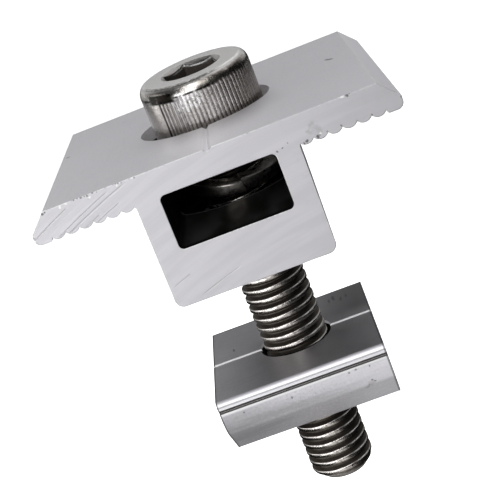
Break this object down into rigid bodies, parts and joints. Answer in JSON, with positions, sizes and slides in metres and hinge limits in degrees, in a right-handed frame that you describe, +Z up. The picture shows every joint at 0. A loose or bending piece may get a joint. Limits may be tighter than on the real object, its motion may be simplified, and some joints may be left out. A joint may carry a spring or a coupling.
{
  "type": "solar panel mid clamp",
  "caption": "Aluminium clamp that holds the facing edges of neighbouring solar panels down on a rail, with a socket cap screw, split spring washer and channel nut.",
  "frame": {"origin": "in the middle of the clamp body, level with the tips of the grip teeth under the wings, where they rest on the panel frames", "axes": "+Z up the screw towards its head, X across the gap between the panels and along the rail, Y along the clamp's extrusion and the panel edges"},
  "size_m": [0.04, 0.038, 0.0535],
  "materials": {
    "clamp_body": "mill finish, sawn ends",
    "cap_screw": "bright rolled stainless steel",
    "spring_washer": "dull stainless steel wire",
    "channel_nut": "mill finish, sawn ends"
  },
  "bodies": {
    "clamp": {"clamp_body": "clamp_body"},
    "washer": {"spring_washer": "spring_washer"},
    "screw": {"cap_screw": "cap_screw"},
    "nut": {"channel_nut": "channel_nut"}
  },
  "joints": [
    {"name": "screw_slide", "type": "slide", "parent": "clamp", "child": "washer", "axis": [0, 0, 1], "range_m": [-0.0017, 0]},
    {"name": "screw_spin", "type": "hinge", "parent": "washer", "child": "screw", "pos_m": [0.00036, 0, 0], "axis": [0, 0, 1], "range_deg": [-4140, 2520]},
    {"name": "nut_travel", "type": "slide", "parent": "washer", "child": "nut", "axis": [0, 0, 1], "range_m": [-0.0088, 0.0144]}
  ],
  "couplings": [
    {"joint": "nut_travel", "follows": "screw_spin", "m_per_rad": -0.00019894}
  ]
}
